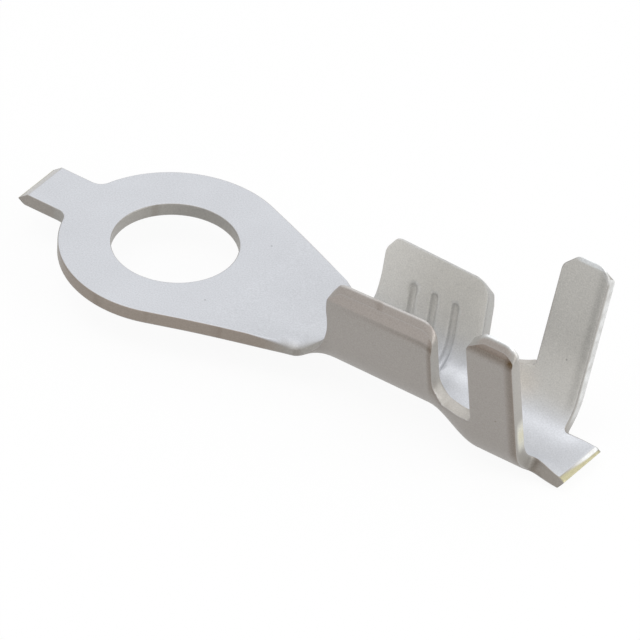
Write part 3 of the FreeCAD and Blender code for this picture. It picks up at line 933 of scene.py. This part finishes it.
def parted(n, run, reach, depth, across):
    """Where the cut ends are bright, from their burnish and from painted highlight that grows towards the
    tail's far side, and where they show bare brass.
    """
    t, _, i, _, _ = settings()
    at = places()
    rear = n.mul(n.over(run, at["tail_run"] - 0.28 * MM),
                 n.under(reach, i.tail_width / 2 - 0.02 * MM))
    front = n.mul(n.under(run, t.tip_run + 0.4 * MM),
                  n.under(reach, t.tip_width / 2 - 0.02 * MM))
    # Painted highlight: the tail's end is brighter towards the far side.
    far = n.ramp(across, -1.1 * MM, 0.9 * MM)
    bright = n.mul(n.mul(rear, n.ramp(depth, i.tail_nose + 0.04 * MM, i.tail_nose + 0.07 * MM)), far)
    bright = n.add(bright, n.mul(n.mul(front, n.ramp(depth, t.tip_nose, t.tip_nose + 0.05 * MM)), 0.4))
    break_line = n.add(i.tail_nose + 0.13 * MM, n.mul(far, -0.07 * MM))
    bare = n.mul(rear, n.sub(1.0, n.ramp(depth, n.sub(break_line, 0.03 * MM), n.add(break_line, 0.02 * MM))))
    bare = n.add(bare, n.mul(front, n.band(depth, t.tip_nose, 0.06 * MM)))
    burr = n.mul(n.band(reach, 3.0 * MM, 0.95 * MM), n.under(across, 0.0))
    burr = n.mul(burr, n.over(run, at["insulation_rear"] - 0.04 * MM))
    burr = n.mul(burr, n.under(run, at["insulation_rear"] + 0.1 * MM))
    burr = n.mul(burr, n.ramp(depth, 0.08 * MM, 0.25 * MM))
    return n.add(bright, burr), n.math("MINIMUM", 1.0, n.add(bare, n.mul(burr, 0.75)))


def noise(n, spot, scale, detail):
    """Value of a noise texture."""
    made = n.node("ShaderNodeTexNoise")
    n.link(spot, made.inputs["Vector"])
    made.inputs["Scale"].default_value = scale
    made.inputs["Detail"].default_value = detail
    return made.outputs[0]


# Operators

def settled(piece):
    """Turns a piece's modifiers into its plain mesh."""
    bpy.context.view_layer.update()
    shaped = piece.evaluated_get(bpy.context.evaluated_depsgraph_get())
    mesh = bpy.data.meshes.new_from_object(shaped)
    piece.modifiers.clear()
    piece.data = mesh
    if not mesh.polygons:
        raise RuntimeError(f"{piece.name} came out empty")


class TERMINAL_OT_fold_sheet(bpy.types.Operator):
    """Blank the strip, press it and fold it into the terminal"""
    bl_idname = "terminal.fold_sheet"
    bl_label = "Fold Sheet"

    def execute(self, context):
        verts, faces = blank_mesh()
        mesh = bpy.data.meshes.new("terminal_sheet")
        mesh.from_pydata(verts, [], faces)
        mesh.validate()
        piece = bpy.data.objects.new("terminal_sheet", mesh)
        context.scene.collection.objects.link(piece)
        group, values = fold_tree()
        modifier = piece.modifiers.new("Fold", "NODES")
        modifier.node_group = group
        sockets = {s.name: s.identifier for s in group.interface.items_tree if s.in_out == "INPUT"}
        for name, value in values.items():
            modifier[sockets[name]] = value
        modifier[sockets["Finish"]] = tin_finish()
        settled(piece)
        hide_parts(NODE)
        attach(piece, "root")
        return {"FINISHED"}


class TERMINAL_OT_set_stage(bpy.types.Operator):
    """Lay the floor, hang the lights and place the camera"""
    bl_idname = "terminal.set_stage"
    bl_label = "Set Stage"

    def execute(self, context):
        s = settings()[4]
        floor(s, CAD_BOX[0].z)
        surround(s)
        softbox("key_light", s.key, KEY_SIZE, KEY_PLACE)
        softbox("tail_light", s.side, SIDE_SIZE, SIDE_PLACE)
        camera(s)
        context.scene.view_settings.view_transform = "Standard"
        return {"FINISHED"}


def shown(n):
    """1 for what the camera sees directly, in a reflection or through glass."""
    path = n.node("ShaderNodeLightPath").outputs
    return n.math("MAXIMUM", path["Is Camera Ray"],
                  n.math("MAXIMUM", path["Is Glossy Ray"], path["Is Transmission Ray"]))


def floor(s, height):
    """Plain pale floor under the terminal."""
    mesh = bpy.data.meshes.new("floor")
    corners = [(x * FLOOR_SIZE, y * FLOOR_SIZE, height) for x, y in ((-1, -1), (1, -1), (1, 1), (-1, 1))]
    mesh.from_pydata(corners, [], [(0, 1, 2, 3)])
    obj = bpy.data.objects.new("floor", mesh)
    bpy.context.scene.collection.objects.link(obj)
    material = bpy.data.materials.new("pale_floor")
    material.use_nodes = True
    shader = material.node_tree.nodes["Principled BSDF"]
    shader.inputs["Base Color"].default_value = (*s.floor, 1.0)
    shader.inputs["Roughness"].default_value = 0.9
    shader.inputs["Specular IOR Level"].default_value = 0.0
    n = Tree(material.node_tree)
    glow = n.node("ShaderNodeEmission")
    glow.inputs["Color"].default_value = (1.0, 1.0, 1.0, 1.0)
    pale = n.node("ShaderNodeMixShader")
    n.link(n.mul(shown(n), s.floor_glow), pale.inputs[0])
    n.link(shader.outputs[0], pale.inputs[1])
    n.link(glow.outputs[0], pale.inputs[2])
    n.link(pale.outputs[0], material.node_tree.nodes["Material Output"].inputs["Surface"])
    mesh.materials.append(material)


def surround(s):
    """Soft light from all round, seen as white."""
    world = bpy.data.worlds.new("surround")
    bpy.context.scene.world = world
    world.use_nodes = True
    n = Tree(world.node_tree)
    background = world.node_tree.nodes["Background"]
    background.inputs["Color"].default_value = (1.0, 1.0, 1.0, 1.0)
    n.link(n.mix(s.fill, 1.0, shown(n)), background.inputs["Strength"])


def softbox(name, power, size, place):
    """Square area light that faces the terminal."""
    lamp = bpy.data.lights.new(name, "AREA")
    lamp.energy = power
    lamp.shape = "SQUARE"
    lamp.size = size
    obj = bpy.data.objects.new(name, lamp)
    bpy.context.scene.collection.objects.link(obj)
    target = (CAD_BOX[0] + CAD_BOX[1]) / 2
    obj.location = Vector(place)
    obj.rotation_mode = "QUATERNION"
    obj.rotation_quaternion = (target - obj.location).to_track_quat("-Z", "Y")


def camera(s):
    """Camera at the viewing angle of the photograph."""
    a, e, r = s.azimuth, s.elevation, s.roll
    back = Vector((math.sin(a) * math.cos(e), -math.cos(a) * math.cos(e), math.sin(e)))
    right = Vector((math.cos(a), math.sin(a), 0.0))
    up = back.cross(right)
    right, up = right * math.cos(r) + up * math.sin(r), up * math.cos(r) - right * math.sin(r)
    place = right * -s.shift_x - up * s.shift_y + back * s.distance
    data = bpy.data.cameras.new("camera")
    data.sensor_width = 36.0
    data.lens = s.focal
    data.clip_start = 0.01
    data.clip_end = 10.0
    obj = bpy.data.objects.new("camera", data)
    bpy.context.scene.collection.objects.link(obj)
    turn = Matrix((right, up, back)).transposed().to_4x4()
    obj.matrix_world = Matrix.Translation(place) @ turn
    bpy.context.scene.camera = obj


class TERMINAL_PT_panel(bpy.types.Panel):
    """Pieces of the ring terminal and their sizes"""
    bl_idname = "TERMINAL_PT_panel"
    bl_label = "Ring Terminal"
    bl_space_type = "VIEW_3D"
    bl_region_type = "UI"
    bl_category = "Terminal"

    def draw(self, context):
        layout = self.layout
        for operator in (TERMINAL_OT_fold_sheet, TERMINAL_OT_set_stage):
            layout.operator(operator.bl_idname)
        for group in settings():
            box = layout.box()
            for key in group.__annotations__:
                box.prop(group, key)


GROUPS = {
    "terminal_tongue": TERMINAL_PG_tongue,
    "terminal_wire": TERMINAL_PG_wire,
    "terminal_insulation": TERMINAL_PG_insulation,
    "terminal_finish": TERMINAL_PG_finish,
    "terminal_stage": TERMINAL_PG_stage,
}
CLASSES = (*GROUPS.values(), TERMINAL_OT_fold_sheet, TERMINAL_OT_set_stage, TERMINAL_PT_panel)


def register():
    """Adds the classes and hangs their settings on the scene."""
    for made in CLASSES:
        bpy.utils.register_class(made)
    for name, group in GROUPS.items():
        setattr(bpy.types.Scene, name, PointerProperty(type=group))


def unregister():
    """Takes away what register added."""
    for name in GROUPS:
        delattr(bpy.types.Scene, name)
    for made in reversed(CLASSES):
        bpy.utils.unregister_class(made)


def main():
    """Makes every piece and the stage."""
    register()
    for node in bpy.context.scene.objects:
        if node.type in {"CAMERA", "LIGHT"}:
            raise RuntimeError(f"{node.name} was there before the stage")
    bpy.ops.terminal.fold_sheet()
    bpy.ops.terminal.set_stage()


if __name__ == "__main__":
    main()
